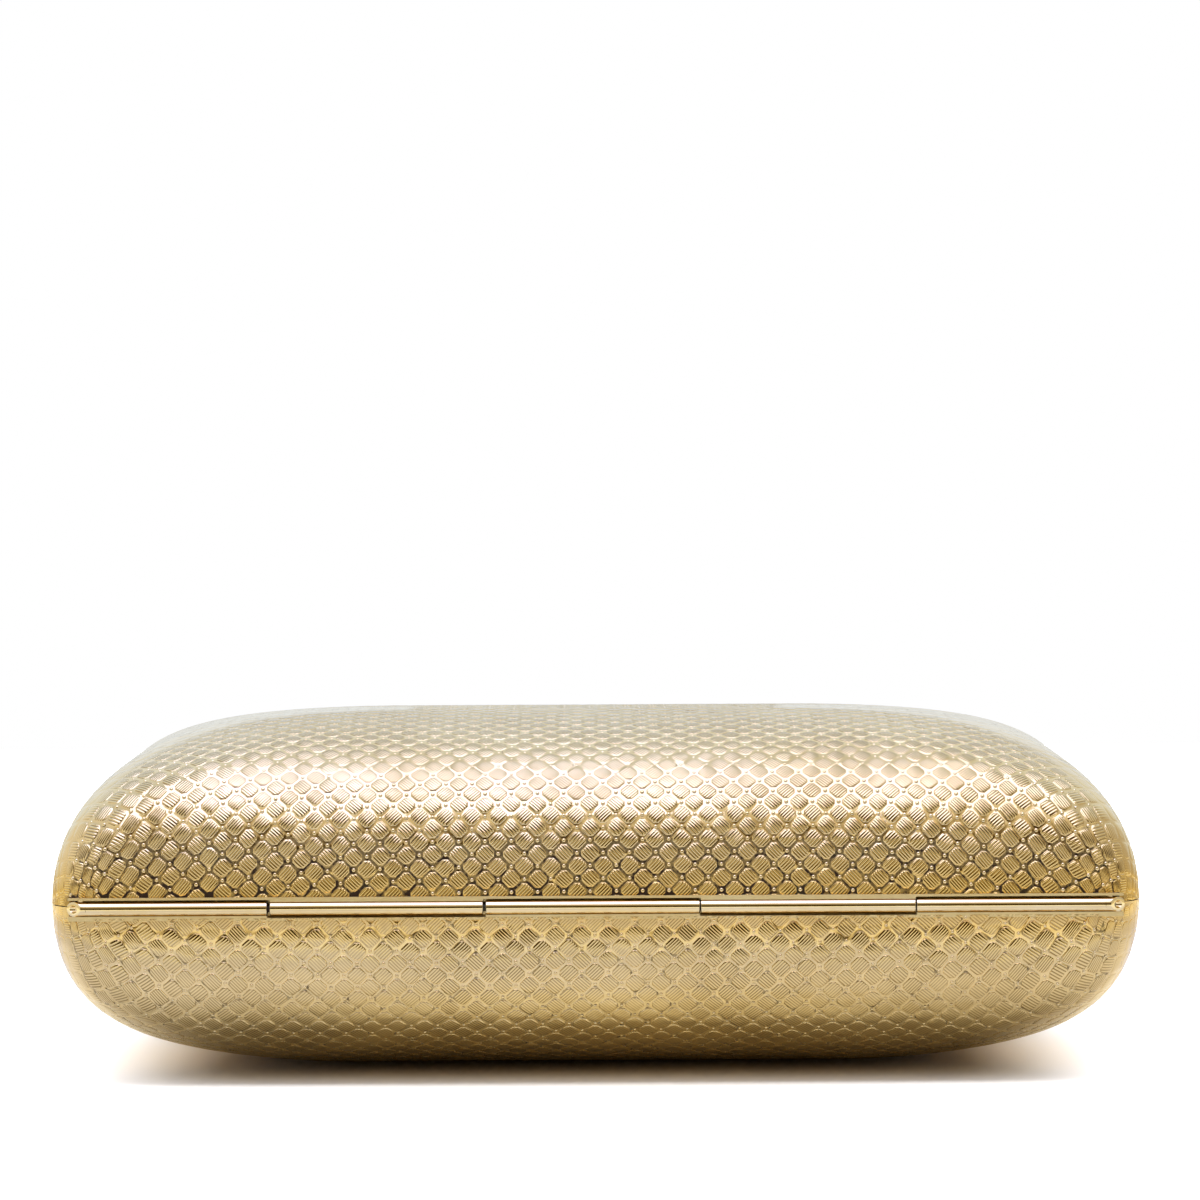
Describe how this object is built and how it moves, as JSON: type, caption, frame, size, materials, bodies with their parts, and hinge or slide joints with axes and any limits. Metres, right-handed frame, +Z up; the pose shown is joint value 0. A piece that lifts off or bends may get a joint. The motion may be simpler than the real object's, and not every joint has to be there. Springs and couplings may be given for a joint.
{
  "type": "minaudiere",
  "caption": "Hard-shell evening clutch of embossed gold metal with a flush tube hinge, lined halves, a framed mouth and a push-button catch.",
  "frame": {"origin": "centre of the flat pressed in the crown of the lower half, on which the case rests", "axes": "+X along the hinge, +Y from the hinge side towards the clasp side, +Z up from the flat towards the lid"},
  "size_m": [0.175, 0.0995, 0.0582],
  "materials": {
    "shell_brass": "embossed and gilt",
    "hinge_brass": "polished and gilt",
    "frame_brass": "satin gilt",
    "spring_steel": "satin",
    "lining_cloth": "satin cloth over padding"
  },
  "bodies": {
    "base": {"lower_shell": "shell_brass", "lower_frame": "frame_brass", "lower_bearer": "hinge_brass", "knuckle_1": "hinge_brass", "knuckle_3": "hinge_brass", "knuckle_5": "hinge_brass", "hinge_pin": "hinge_brass", "button_collar": "hinge_brass", "catch_spring": "spring_steel", "catch_housing": "frame_brass", "catch_rivets": "frame_brass", "housing_rivets": "frame_brass", "lower_lining": "lining_cloth"},
    "lid": {"upper_shell": "shell_brass", "upper_frame": "frame_brass", "upper_bearer": "hinge_brass", "knuckle_2": "hinge_brass", "knuckle_4": "hinge_brass", "striker_plate": "spring_steel", "striker_rivets": "frame_brass", "upper_lining": "lining_cloth"},
    "button": {"clasp_button": "hinge_brass"}
  },
  "joints": [
    {"name": "lid_hinge", "type": "hinge", "parent": "base", "child": "lid", "pos_m": [0, -0.048, 0.0288], "axis": [1, 0, 0], "range_deg": [0, 120]},
    {"name": "button_press", "type": "slide", "parent": "base", "child": "button", "axis": [0, -1, 0], "range_m": [0, 0.0012], "stiffness_N_per_m": 2500, "deforming": ["catch_spring"]}
  ]
}
